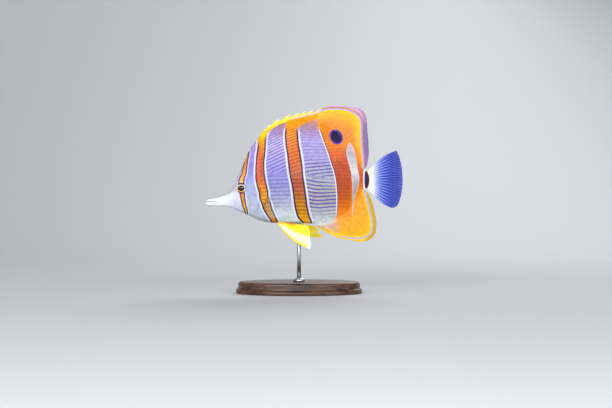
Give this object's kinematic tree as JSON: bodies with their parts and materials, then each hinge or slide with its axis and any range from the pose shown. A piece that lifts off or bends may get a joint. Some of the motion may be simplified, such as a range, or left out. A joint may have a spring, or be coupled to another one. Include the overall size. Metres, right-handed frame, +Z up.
{
  "type": "copperband butterflyfish model on a stand",
  "caption": "Life-size still model of a copperband butterflyfish with spread fins, held level by a short rod on an oval display base.",
  "frame": {"origin": "middle of the model's box in X and Y, on the plane that the stand's base rests on", "axes": "-X towards the snout and +X towards the tail, -Y out of the fish's left flank, +Z up"},
  "size_m": [0.15, 0.058, 0.1429],
  "materials": {
    "scales": "silver lilac scales with orange bands",
    "snout": "smooth white skin",
    "yellow_fin": "bright yellow rayed fin",
    "orange_fin": "golden orange rayed fin",
    "blue_tail": "lavender blue rayed fin",
    "clear_fin": "nearly clear rayed fin",
    "eye": "wet gloss",
    "stand_wood": "oiled dark walnut",
    "stand_steel": "satin"
  },
  "bodies": {
    "root": {"upper_jaw": "snout", "lower_jaw": "snout", "head": "scales", "eye_left": "eye", "eye_right": "eye", "gill_cover_left": "scales", "gill_cover_right": "scales", "trunk": "scales", "tail_stalk": "scales", "spiny_back_fin": "yellow_fin", "soft_back_fin": "orange_fin", "anal_fin": "orange_fin", "tail_fin": "blue_tail", "pectoral_fin_left": "clear_fin", "pectoral_fin_right": "clear_fin", "pelvic_fin_left": "yellow_fin", "pelvic_fin_right": "yellow_fin", "stand_base": "stand_wood", "stand_rod": "stand_steel", "stand_collar": "stand_steel"}
  },
  "joints": []
}
